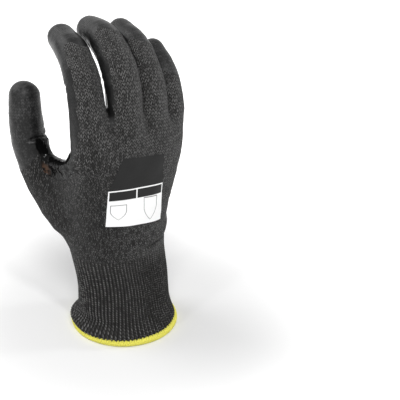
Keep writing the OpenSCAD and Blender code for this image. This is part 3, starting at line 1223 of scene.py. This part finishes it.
@dataclass
class Skin:
    """The liner and its coating, parted at each bend."""

    form: HandForm
    finishes: dict[str, bpy.types.Material]
    pitch: float = 0.85
    floor: float = 62.0
    heel: float = 74.0
    wall: float = 1.2
    knit_tuck: float = 0.3
    coat_tuck: float = 0.25
    thumb_way: Row = (-0.633, 0.774, 0.0)
    saddle_rise: float = 1.1
    saddle_reach: float = 8.8
    saddle_path: tuple[Row, ...] = (
        (-44.5, 35.6, 143.0), (-43.8, 34.6, 139.0), (-43.2, 32.6, 135.4),
        (-43.2, 28.6, 132.0), (-43.6, 24.4, 128.6), (-44.0, 19.5, 126.2),
        (-43.8, 13.5, 126.8), (-43.6, 7.0, 130.0), (-42.0, 3.0, 136.0),
    )
    points: Array = field(init=False)
    faces: Array = field(init=False)
    normals: Array = field(init=False)
    coat: Array = field(init=False)

    def shape(self) -> None:
        """Finds the skin, presses its folds in and reads where it is coated."""
        low, high = np.array([-78.0, -44.0, self.floor - 6.0]), np.array([58.0, 66.0, 232.0])
        points, faces = level_surface(self.form.distance, low, high, self.pitch)
        for _ in range(3):
            points = self.settle(points)
        points = points + point_normals(points, faces) * self.form.relief(points)[:, None]
        faces = faces[(points[faces][:, :, 2] > self.floor).all(1)]
        used, back = np.unique(faces, return_inverse=True)
        self.points, self.faces = points[used], back.reshape(faces.shape)
        self.normals = point_normals(self.points, self.faces)
        self.coat = self.form.coated(self.points)
        log.info("skin: %d points, %d faces", len(self.points), len(self.faces))

    def settle(self, points: Array) -> Array:
        """Moves points onto the zero level, down the field's slope.

        Args:
            points: points, one in a row.

        Returns:
            The points, moved.
        """
        step = 0.05
        here = self.form.distance(points)
        slope = np.stack([(self.form.distance(points + step * way) - here) / step for way in np.eye(3)], -1)
        return points - (here / np.maximum((slope * slope).sum(1), 0.25))[:, None] * slope

    def bends(self) -> list[Bend]:
        """Every moving length of the skin: three for each digit, fingers first.

        Returns:
            The lengths, from the index finger to the thumb.
        """
        out = []
        for d in (*self.form.fingers, self.form.thumb):
            marks = ((-14.0, 20.0), (-12.0, 11.0), (-9.0, 8.0))
            ways = [unit(d.bones[k] + d.bones[k + 1]) for k in range(3)]
            if d is self.form.thumb:
                marks = ((-6.0, 12.0), (5.0, 19.0), (-6.0, 11.0))
                ways[:2] = np.array(self.thumb_way), d.bones[2]
            bodies = ("hand", *(f"{d.name}_{part}" for part in ("base", "middle", "tip")))
            for k, part in enumerate(("knuckle", "middle", "tip")):
                start, end = (d.chain[k + 1] + mark * ways[k] for mark in marks[k])
                out.append(Bend(f"{d.name}_{part}", bodies[k : k + 2], start, end, d))
        return out

    def regions(self, bends: list[Bend]) -> Array:
        """Number of each face's region: 0 is the hand, 1 its heel, then the bends in order.

        Args:
            bends: the moving lengths.

        Returns:
            One number for each face.
        """
        c = self.points[self.faces].mean(1)
        owner = self.form.owner(c)
        region = np.zeros(len(c), int)
        past = [(c - b.start) @ unit(b.end - b.start) > 0 for b in bends]
        for k, passed in enumerate(past[:12]):
            if k % 3 == 0:
                mine = owner == k // 3
            mine = mine & passed
            region[mine] = 2 + k
        region[(region == 0) & (c[:, 2] > self.heel) & past[12]] = THUMB
        region[(region == THUMB) & (self.form.thumb.distance(c) < 4.0) & past[13]] = THUMB + 1
        region[(region == THUMB + 1) & past[14]] = THUMB + 2
        region[c[:, 2] <= self.heel] = 1
        return region

    def touched(self, faces: Array) -> Array:
        """Which points of the skin the chosen faces have.

        Args:
            faces: which faces are chosen.

        Returns:
            True for each point that they have.
        """
        reached = np.zeros(len(self.points), bool)
        reached[self.faces[faces]] = True
        return reached

    def tucked(self, chosen: Array) -> tuple[Array, Array]:
        """Widens a region by a hidden border of two rows of faces, tucked under its neighbours.

        Args:
            chosen: which faces are the region's.

        Returns:
            Which faces the region has with its border, and how many rows into the border each point is.
        """
        level = np.zeros(len(self.points))
        reached = self.touched(chosen)
        for row in (1, 2):
            chosen = reached[self.faces].any(1)
            fresh = self.touched(chosen) & ~reached
            level[fresh] = row
            reached = reached | fresh
        return chosen, level

    def piece(
        self, chosen: Array, rise: Array, chart: tuple[Array, Array], wear: Array | None = None
    ) -> Cloth:
        """A piece of the skin, moved out by its rise."""
        moved = self.points + self.normals * rise[:, None]
        return cut(moved, self.normals, self.faces[chosen], chart, wear)

    def wear(self) -> Array:
        """How far the coating is rubbed, most on the digits' ends, and how brown, at the thumb's root.

        Returns:
            Two shares for each point.
        """
        rubbed = 0.25 * ease(self.points[:, 1], 0.0, 20.0)
        owner = self.form.owner(self.points)
        for k, digit in enumerate((*self.form.fingers, self.form.thumb)):
            mine = owner == k
            along, (middle, end, _) = digit.chart(self.points[mine])[0], digit.spans
            rubbed[mine] = np.maximum(rubbed[mine], ease(along, middle - 4, end - 4))
        away, _ = path_distance(self.points, np.array([(-34.0, 34.0, 118.0), (-24.0, 26.0, 86.0)]))
        return np.column_stack([rubbed, bell(away, 12.0)])

    def walls(self, cloth: Cloth, mine: Array, other: Array) -> Cloth:
        """Closes the side of a finger's root towards its neighbour.

        Each edge that the two regions share is joined to the middle of all of them.

        Args:
            cloth: the piece.
            mine: faces of this region in the skin.
            other: faces of the neighbour.

        Returns:
            The piece with its wall.
        """
        edges = self.shared_edges(mine, other)
        n = len(edges)
        if n < 3:
            return cloth
        rim = self.points[edges] - 0.15 * self.normals[edges]
        middle = rim.reshape(-1, 3).mean(0)
        core = middle + 0.01 * (rim - middle)
        k = np.arange(n) + len(cloth.points)
        faces = np.stack([k + n, k, k + 3 * n, k + 2 * n], -1)
        facing = unit(np.cross(rim[:, 0] - rim[:, 1], middle - rim[:, 1]))
        points = np.concatenate([rim[:, 0], rim[:, 1], core[:, 1], core[:, 0]])
        return cloth.plus(points, faces, np.tile(facing, (4, 1)), np.zeros((faces.size, 2)))

    def shared_edges(self, mine: Array, other: Array) -> Array:
        """Edges, as pairs of points in the order of the first region's faces, between two regions.

        Args:
            mine: faces of the first region.
            other: faces of the second.

        Returns:
            One edge in a row.
        """
        a, b = (
            np.concatenate([self.faces[chosen][:, [k, (k + 1) % 4]] for k in range(4)])
            for chosen in (mine, other)
        )
        keys, others = (e.min(1).astype(np.int64) * len(self.points) + e.max(1) for e in (a, b))
        return a[np.isin(keys, others)]

    @staticmethod
    def neighbours(number: int) -> list[int]:
        """Regions that lie beside a finger's root and bend differently.

        Args:
            number: the finger's region.

        Returns:
            Numbers of the regions, none for other parts.
        """
        roots = [2, 5, 8, 11]
        if number not in roots:
            return []
        return [r for r in roots if abs(r - number) == 3] + ([0] if number in (8, 11) else [])

    def build(self) -> list[bpy.types.Object]:
        """Makes every piece of the liner, the coating and the saddle.

        Returns:
            The objects.
        """
        self.shape()
        bends = self.bends()
        region = self.regions(bends)
        hand_chart = self.form.hand_weave(self.points)
        wear = self.wear()
        coated = (self.coat[self.faces] > COAT_EDGE).any(1)
        made = []
        for number, bend in enumerate((None, WRIST, *bends)):
            mine = region == number
            digit = bend.digit if bend else None
            coat_chart = self.form.finger_weave(self.points, digit) if digit else hand_chart
            chart = hand_chart if digit is self.form.thumb else coat_chart
            wide, level = self.tucked(mine)
            knit = self.piece(wide, -self.knit_tuck * level, chart)
            for side in self.neighbours(number):
                knit = self.walls(knit, mine, region == side)
            if bend is None:
                knit = knit.lined(self.wall)
            rise = film(self.coat) - self.coat_tuck * level
            made.append(self.place(knit, "liner", bend))
            made.append(self.place(self.piece(wide & coated, rise, coat_chart, wear), "coat", bend))
        return made + self.saddle(region, bends)

    def place(self, cloth: Cloth, kind: str, bend: Bend | None) -> bpy.types.Object:
        """Makes a piece, attaches the hand's piece to the hand's body and hides the solid that it stands for.

        Args:
            cloth: the piece's surface.
            kind: liner or coat.
            bend: the length that it covers, or None for the hand.

        Returns:
            The object.
        """
        slot, solid = {"liner": ("knit", "knit"), "coat": ("palm_coating", "coating")}[kind]
        finish = self.finishes["knit" if kind == "liner" else "coat"]
        piece = cloth.make(f"{bend.name if bend else 'hand'}_{kind}", finish)
        if bend:
            bend.hang(piece)
        else:
            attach(piece, "hand")
            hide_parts("hand_knit" if kind == "liner" else "palm_coating")
        if bend and bend.digit:
            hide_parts(f"{bend.bodies[1]}_{solid}")
        return piece

    def saddle(self, region: Array, bends: list[Bend]) -> list[bpy.types.Object]:
        """The thick glossy coating over the crotch of the thumb.

        It covers the skin within reach of a path down the thumb and over the web, and thins out in lobes.

        Args:
            region: region of each face.
            bends: the moving lengths.

        Returns:
            The objects: the web's part and the thumb's.
        """
        away, t = path_distance(self.points, np.array(self.saddle_path))
        reach = self.saddle_reach * (0.78 + 0.22 * ease(t, 0.3, 0.5))
        inside = reach + 1.1 * ripple(self.points, 10.0, 21) - away
        lumps = np.clip(0.3 * ripple(self.points, 5.5, 3) + 0.12 * ripple(self.points, 2.8, 4), -0.3, 0.7)
        rise = self.saddle_rise * ease(inside, -0.2, 1.8) + lumps * ease(inside, 0.5, 3.0) - 0.15
        chart = self.form.hand_weave(self.points)
        made = []
        parts = (("web_saddle", (0, 2, THUMB), bends[12]), ("thumb_saddle", (THUMB + 1,), bends[13]))
        for name, numbers, bend in parts:
            chosen = (inside[self.faces] > -0.6).any(1) & np.isin(region, numbers)
            piece = self.piece(chosen, rise, chart).make(name, self.finishes["saddle"])
            bend.hang(piece)
            made.append(piece)
        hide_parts("thumb_crotch_patch")
        return made


@dataclass
class Cuff:
    """The ribbed cuff up to the heel of the hand, and its overlocked edge."""

    form: HandForm
    finishes: dict[str, bpy.types.Material]
    rib_depth: float = 0.62
    rows: int = 150
    per_rib: int = 8
    top: float = 63.0
    part: float = 44.0
    wall: float = 1.3
    turns: int = 132
    roll_r: float = 1.55
    thread_r: float = 0.62
    tall: float = 1.25
    core_rings: int = 240
    turn_steps: int = 14
    clear: float = 0.02

    def outline(self, theta: Array, z: Array) -> Array:
        """Distance from the cuff's middle line to the hand's skin, found by halving between 8 and 62 mm.

        Args:
            theta: angles round the cuff.
            z: heights.

        Returns:
            The distance at each angle and height.
        """
        centre = self.form.section(z)[:, :2]
        way = np.stack([np.cos(theta), np.sin(theta)], -1)
        low, high = np.full(len(z), 8.0), np.full(len(z), 62.0)
        for _ in range(22):
            mid = (low + high) / 2
            out = self.form.distance(np.column_stack([centre + way * mid[:, None], z])) > 0
            low, high = np.where(out, low, mid), np.where(out, mid, high)
        return (low + high) / 2

    def grid(self) -> tuple[tuple[Array, Array], Array]:
        """The cuff's outer side, from its rim up.

        Radius is the skin's, plus a rib cos(n theta) that fades out towards the hand, plus the curl of the
        rim, plus the folds.

        Returns:
            The two weave lengths, and the points, row by row.
        """
        theta = np.linspace(0, tau, RIBS * self.per_rib, endpoint=False)
        z = np.linspace(0.6, self.top, self.rows)
        zf, tf = (g.ravel() for g in np.meshgrid(z, theta, indexing="ij"))
        coarse = np.linspace(0, tau, 97)
        cz, ct = np.meshgrid(z, coarse, indexing="ij")
        radius = self.outline(ct.ravel(), cz.ravel()).reshape(cz.shape)
        r = np.stack([np.interp(theta, coarse, row) for row in radius]).ravel()
        side = -np.cos(tf)
        wave = 0.55 * np.sin(2 * tf + 0.6) + 0.3 * np.sin(5 * tf)
        curl = ease(side, -0.2, 0.9) * 3.0 * bell(zf - 6.6 - wave, 2.6)
        pinch = ease(side, 0.0, 0.9) * 1.7 * bell(zf - 14.0, 3.8)
        lean = 0.25 * np.sin(zf * 0.11 + 3 * tf)
        rib = self.rib_depth * (1 - 0.75 * ease(zf, 46.0, self.top)) * np.cos(RIBS * tf + lean)
        course = 0.09 * np.sin(zf * tau / 1.6 + np.floor(tf * RIBS / tau) * 2.1)
        out = np.column_stack([np.cos(tf), np.sin(tf), np.zeros_like(tf)])
        middle = np.column_stack([self.form.section(zf)[:, :2], zf])
        points = middle + (r + rib + course + curl - pinch)[:, None] * out
        points += self.form.relief(points)[:, None] * out
        return ((tf + (lean + pi) / RIBS) * ARC_RADIUS, zf), points

    def build(self) -> list[bpy.types.Object]:
        """Makes the cuff's pieces: its two lengths, the coating's lower end and the edge.

        Returns:
            The objects.
        """
        chart, points = self.grid()
        faces = grid_faces(self.rows, RIBS * self.per_rib, True)
        normals = point_normals(points, faces)
        upper = points[faces].mean(1)[:, 2] > self.part
        around = tau * ARC_RADIUS
        made = []
        for name, chosen in (("cuff", ~upper), ("wrist", upper)):
            cloth = cut(points, normals, faces[chosen], chart, None, around).lined(self.wall)
            piece = cloth.make(f"{name}_liner", self.finishes["cuff"])
            if name == "cuff":
                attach(piece, "cuff")
                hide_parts("cuff_knit")
            else:
                WRIST.hang(piece)
            made.append(piece)
        coat = self.form.hand_coated(points)
        raised = points + normals * film(coat)[:, None]
        wear = np.column_stack([0.25 * ease(raised[:, 1], 0.0, 20.0), np.zeros(len(raised))])
        tongue = cut(raised, normals, faces[(coat[faces] > -0.4).any(1) & upper], chart, wear, around)
        piece = tongue.make("wrist_coat", self.finishes["coat"])
        WRIST.hang(piece)
        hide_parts("cuff_coating")
        return [*made, piece, *self.binding()]

    @staticmethod
    def rim(theta: Array) -> tuple[Array, Array]:
        """The middle line of the overlocked edge, which waves up and down, and the ways out from it.

        Args:
            theta: angles round the cuff.

        Returns:
            Points of the line, and ways at length one.
        """
        low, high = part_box("cuff_binding")
        r = (high.x - low.x) / 2 / MM - 1.5
        z = 2.15 + 0.18 * np.sin(3 * theta) + 0.12 * np.sin(7 * theta + 1)
        out = np.column_stack([np.cos(theta), np.sin(theta), np.zeros_like(theta)])
        return np.column_stack([r * out[:, :2], z]), out

    def binding(self) -> list[bpy.types.Object]:
        """The overlocked edge: a core roll and a thread wound round it, one turn for each stitch.

        The core is a ring, cos and sin of two angles. The thread's path goes round the core once a stitch,
        and a small ring is carried along it.

        Returns:
            The objects.
        """
        up = np.array([0.0, 0.0, 1.0])
        around = np.linspace(0, tau, self.core_rings, endpoint=False)
        centre, out = self.rim(around)
        roll = tube(centre, out, self.tall * up, self.roll_r, 12, around * 36, 2.0)

        a = np.linspace(0, tau, self.turns * self.turn_steps, endpoint=False)
        stitch = a * self.turns
        base, out = self.rim(a + 0.012 * np.sin(stitch))
        reach, tall = self.roll_r + 0.12, self.tall * 1.06
        path = base + reach * (np.cos(stitch)[:, None] * out + tall * np.sin(stitch)[:, None] * up)
        path[:, 2] = np.maximum(path[:, 2], self.thread_r + self.clear)
        way = unit(np.roll(path, -1, 0) - np.roll(path, 1, 0))
        side = unit(path - base)
        side = unit(side - (side * way).sum(1, keepdims=True) * way)
        thread = tube(path, side, 1.25 * np.cross(way, side), self.thread_r, 6, stitch, 1.0)
        thread.points[:, 2] = np.maximum(thread.points[:, 2], self.clear)
        look = self.finishes["binding"]
        made = [roll.make("binding_core", look), thread.make("binding_thread", look)]
        for piece in made:
            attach(piece, "cuff")
            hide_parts("cuff_binding")
        return made


@dataclass
class BackLabel:
    """The printed film on the back of the hand, which follows its curve."""

    form: HandForm
    slant: Row = (1.1, 11.4)
    foot: Row = (2.6, -2.0)
    head: Row = (3.6, 0.6)
    right: float = -2.6
    split: float = 0.545
    lift: float = 0.22
    across: int = 90
    up: int = 96

    def build(self) -> bpy.types.Object:
        """Makes the film: a grid over its field, dropped from behind onto the skin.

        The left side leans in above the white block, and foot and head slope down to the right. Each point
        goes along +Y until the distance field is zero.

        Returns:
            The object.
        """
        low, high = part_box("back_label")
        x0, x1, z0, z1 = (v / MM for v in (low.x, high.x, low.z, high.z))
        grid = np.meshgrid(np.linspace(0, 1, self.across), np.linspace(0, 1, self.up), indexing="xy")
        s, t = (g.ravel() for g in grid)
        left = x0 + np.interp(t, [0, self.split, 1], [0, *self.slant])
        foot, head = z0 + np.interp(s, [0, 1], self.foot), z1 + np.interp(s, [0, 1], self.head)
        x = left + (x1 + self.right - left) * s
        z = foot + (head - foot) * t
        y = np.full(len(x), -40.0)
        for _ in range(40):
            y = y + 0.8 * self.form.distance(np.column_stack([x, y, z]))
        points = np.column_stack([x, y, z])
        faces = grid_faces(self.up, self.across, False)
        points = points + point_normals(points, faces) * (self.form.relief(points) + self.lift)[:, None]
        width, height = x1 + self.right - x0, z1 - z0
        weave = corner_weave(s * width, t * height, faces)
        finish = PrintFinish("label_print", width, height, self.split).material()
        piece = Cloth(points, faces, point_normals(points, faces), weave).make("label_film", finish)
        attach(piece, "hand")
        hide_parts("back_label")
        return piece


@dataclass(frozen=True)
class Studio:
    """A white table under soft light, and the camera."""

    azimuth: float = -29.9
    elevation: float = 24.4
    distance: float = 0.674
    target: Row = (0.0, 0.0, 0.12)
    lens: float = 86.2
    aim: Row = (0.1893, -0.0678)
    ambient: float = 0.38
    lamps: tuple[tuple[str, Row, float, float], ...] = (
        ("key", (-0.58, -0.9, 1.25), 0.5, 10.5),
        ("spark", (-0.1, -0.85, 1.15), 0.16, 3.6),
        ("strip", (-1.05, -0.3, 0.5), 0.13, 2.0),
        ("side", (1.0, -0.35, 0.4), 0.2, 3.0),
        ("rear", (-0.6, 0.75, 1.0), 0.8, 6.0),
    )

    def camera(self) -> None:
        """Sets the camera on its line of sight and turns it so that the glove stands off centre."""
        a, e = radians(self.azimuth), radians(self.elevation)
        back = Vector((sin(a) * cos(e), -cos(a) * cos(e), sin(e)))
        data = bpy.data.cameras.new("camera")
        data.lens, data.sensor_width = self.lens, SENSOR
        data.clip_start, data.clip_end = 0.01, 20.0
        cam = bpy.data.objects.new("camera", data)
        bpy.context.scene.collection.objects.link(cam)
        cam.location = Vector(self.target) + back * self.distance
        yaw, pitch = (np.arctan(shift * SENSOR / self.lens) for shift in self.aim)
        cam.rotation_mode = "QUATERNION"
        facing = (-back).to_track_quat("-Z", "Y")
        cam.rotation_quaternion = facing @ Euler((pitch, -yaw, 0.0)).to_quaternion()
        bpy.context.scene.camera = cam

    def table(self) -> None:
        """A wide white table that the camera sees as white but for the glove's shadow."""
        n, half = 24, 3000
        g = np.linspace(-1, 1, n)
        x, y = (v.ravel() for v in np.meshgrid(g, g, indexing="xy"))
        points = np.column_stack([half * x * np.abs(x), half * y * np.abs(y), np.full(n * n, -0.05)])
        b = Board("table_white")
        b.set(Base_Color=grey(0.82), Roughness=0.9, Specular_IOR_Level=0.0)
        strength = b.seen() * b.away((0, 0, 0), 1.0).step(0.07, 0.26) * 0.78
        glow = b.node("ShaderNodeEmission", 0, None, {"Strength": strength})
        total = b.node("ShaderNodeAddShader", 0, None, {0: b.shaded, 1: glow})
        b.tree.links.new(total.socket, b.output.inputs["Surface"])
        Cloth(points, grid_faces(n, n, False)).make("table", b.material)

    def lights(self) -> None:
        """A wide soft lamp from the upper left, small ones from the right and behind, and a pale surround."""
        sky = Surround("surround")
        bpy.context.scene.world = sky.world
        soft, white = (
            sky.node("ShaderNodeBackground", 0, None, {"Color": (1, 1, 1, 1), "Strength": strength})
            for strength in (self.ambient, 1.0)
        )
        mixed = sky.node("ShaderNodeMixShader", 0, None, {0: sky.seen(), 1: soft, 2: white})
        sky.add("ShaderNodeOutputWorld", None, {"Surface": mixed})
        for name, spot, size, power in self.lamps:
            data = bpy.data.lights.new(name, "AREA")
            data.shape, data.size, data.energy = "DISK", size, power
            lamp = bpy.data.objects.new(name, data)
            bpy.context.scene.collection.objects.link(lamp)
            lamp.location = spot
            lamp.rotation_euler = (Vector((0, 0, 0.1)) - Vector(spot)).to_track_quat("-Z", "Y").to_euler()

    def build(self) -> None:
        """Sets up the table, the lamps and the camera."""
        self.table()
        self.lights()
        self.camera()
        bpy.context.scene.view_settings.view_transform = "Standard"


def make_digit(
    name: str,
    bends: tuple[str, ...],
    radii: Row,
    end: tuple[float, Array],
    root: Row,
    tip_coat: float,
    aside: tuple[Row, ...],
    turn: float = 1.0,
) -> Digit:
    """Sets up a digit from the joints of the record.

    Args:
        name: its name.
        bends: what its three joints are called.
        radii: radii at the root, the joints and the tip.
        end: size and direction of its last length.
        root: start of the chain inside the hand.
        tip_coat: where the bare strip on its back stops.
        aside: how far its skin's middle lies from its joints and its tip.
        turn: -1 where the record's axis opens the digit.

    Returns:
        The digit.
    """
    joints = [next(j for j in frame["joints"] if j["name"] == f"{name}_{bend}") for bend in bends]
    places = [np.array(j["pos_m"], float) / MM for j in joints]
    hinge = unit(np.array(joints[1]["axis"], float)) * turn
    chain = np.array([root, *places, places[2] + end[0] * end[1]])
    chain[1:] += np.array(aside, float)
    return Digit(name, chain, np.array(radii), hinge, tip_coat)


def make_form() -> HandForm:
    """Sets up the hand's form: its digits, its sections and its folds.

    Returns:
        The form.
    """
    bends = ("knuckle", "middle_bend", "end_bend")
    fingers = tuple(
        make_digit(name, bends, radii, (size, tilted(*leans, 0)), root, tip_coat, aside)
        for name, leans, size, radii, root, tip_coat, aside in (
            ("index", (75, 5), 19, (13, 13, 12, 11, 9.4), (-24, -2, 100), 66,
             ((-1.2, 0, 0), (-1.4, 0, 0), (0.2, 0, -0.8), (1.2, 0, -1.2))),
            ("middle", (86, 2.5), 20, (13, 13, 12, 10.9, 9.5), (-5, -4, 100), 74,
             ((-1.6, 0, 0), (-1.4, 0, 0), (0.2, 0, -1.4), (1.0, 0, -1.8))),
            ("ring", (74, 1.5), 20, (12.6, 12.6, 11.5, 10.4, 9.1), (12, -3, 100), 68,
             ((-2.4, 0, 0), (-1.8, 0, 0), (-0.4, 0, -1.0), (0.2, 0, -1.4))),
            ("little", (50, 1), 18, (10.2, 10.4, 10.2, 9.2, 8.2), (28, 0, 98), 50,
             ((-5.6, 0, 0), (-2.0, 0, 0), (-0.6, 0, -2.0), (-0.6, 0, -3.6))),
        )
    )
    thumb = make_digit(
        "thumb", ("swing", "knuckle", "end_bend"), (16.5, 15.6, 12.6, 11.9, 10.5),
        (24, tilted(-2.6, -4.7, -135)), (-10, 8, 70), 58,
        ((2.2, -1.4, 0), (1.9, -0.9, 0), (0.8, -0.2, 0), (0.4, 0, 0)), -1.0,
    )
    rings = np.array([
        (0, 0, 0, 37.6, 37.6, 2), (5, 0, 0.1, 37.3, 36.9, 2), (11, 0, 0.5, 35.6, 33.8, 2),
        (17, 0.1, 1, 34.4, 31.0, 2), (26, 0.3, 1.8, 34.0, 29.0, 2), (38, 0.1, 3, 34.2, 27.6, 2),
        (48, -1.0, 3.9, 34.6, 26.8, 2), (60, -3.0, 3.8, 35.4, 27.0, 2), (70, -3.8, 3.0, 35.8, 26.6, 2.05),
        (81, -3.5, 1.6, 35.2, 25.4, 2.15), (96, -2.8, -1, 35.6, 23.0, 2.25),
        (110, -2.1, -3.6, 37.6, 20.4, 2.3), (124, -1.6, -6.2, 39.4, 18.0, 2.4),
        (136, -1.2, -8.2, 40.2, 16.4, 2.6), (147, -0.6, -8.6, 39.8, 15.4, 2.8),
        (156, 0, -7.6, 38.5, 14.2, 2.8), (163, -0.4, -5.6, 36.5, 12.4, 2.8),
        (170, -0.8, -3.0, 35, 10, 2.8), (180, -1, 1.0, 34, 7, 2.8),
    ], float)
    creases = (
        Crease(((34, 2, 84), (31, -8, 81), (29, -12, 79.5), (25.6, -15.5, 76.5), (19, -19.6, 74.5),
                (8.5, -22.9, 74.4), (-1.8, -23.7, 74.4), (-12.4, -22.5, 75.1)), -2.2, 3.0, 0),
        Crease(((34, 3, 78), (33, -4, 75.5), (30, -9, 73.5), (25.6, -14, 71.5), (19, -18.6, 70.2),
                (8.5, -22, 70), (-1.8, -23, 70)), 2.0, 1.5, 0),
        Crease(((-17, 0, 154), (-13.5, 0, 138), (-9, 0, 124), (-2, 0, 108)), -1.7, 3.4, 0, True),
        Crease(((-9, 0, 152), (-5, 0, 134), (1, 0, 116)), 1.9, 2.8, 0.4, True),
        Crease(((3, 0, 150), (4, 0, 135), (6, 0, 119)), -1.5, 2.8, 0, True),
        Crease(((11, 0, 148), (11, 0, 131), (8, 0, 115), (4, 0, 101)), 2.0, 3.0, 0.4, True),
        Crease(((21, 0, 142), (19, 0, 126), (14, 0, 112), (8, 0, 97)), -1.7, 3.2, 0, True),
        Crease(((28, 0, 134), (26, 0, 119), (21, 0, 103)), 1.6, 2.8, 0.4, True),
        Crease(((-30, 0, 132), (-22, 0, 112), (-12, 0, 92), (-8, 0, 76)), 2.2, 4.5, 0.3, True),
        Crease(((-24, 0, 84), (-10, 0, 78), (4, 0, 73), (18, 0, 76)), 0.9, 3.0, 0.4, True),
        Crease(((30, 0, 116), (24, 0, 106), (14, 0, 100)), 1.0, 2.2, 0.4, True),
    )
    web_edge = np.array([
        (-43.5, 34, 127.5), (-42, 27, 126.6), (-41, 20.5, 127.2), (-40.4, 14.5, 128.2),
        (-40, 9, 129.8), (-39.6, 3.5, 133), (-37.5, -1.5, 139),
    ], float)
    web_foot = np.array([
        (-40, 31, 108), (-38, 25, 104), (-36, 19, 101), (-34, 13.5, 100),
        (-32.5, 8, 101), (-31, 2, 105), (-30, -4, 112),
    ], float)
    core = np.array([(-26, 4, 100), (-22, -4, 124)], float)
    return HandForm(fingers, thumb, rings, web_edge, web_foot, core, creases)


def main() -> None:
    """Builds the glove part by part, then the studio."""
    logging.basicConfig(level=logging.INFO, format="%(message)s")
    ribbed = (tau * ARC_RADIUS / RIBS, 1.7, 0.009, 1.0, 0.8, 0.34)
    finishes = {
        "knit": KnitFinish("liner_knit", Yarn.FLAT).material(),
        "cuff": KnitFinish("cuff_knit_finish", Yarn.RIBBED, *ribbed).material(),
        "coat": CoatingFinish("dipped_coating").material(),
        "saddle": SaddleFinish("saddle_coating").material(),
        "binding": BindingFinish("overlock_thread").material(),
    }
    form = make_form()
    pieces = [*Skin(form, finishes).build(), *Cuff(form, finishes).build(), BackLabel(form).build()]
    yarns = frame["nodes"]["cuff_elastic_yarns"]
    yarns.data.materials.clear()
    yarns.data.materials.append(ElasticFinish("elastic_yarn").material())
    for piece in pieces:
        log.info("piece %s: %d faces", piece.name, len(piece.data.polygons))
    Studio().build()


if __name__ == "__main__":
    main()
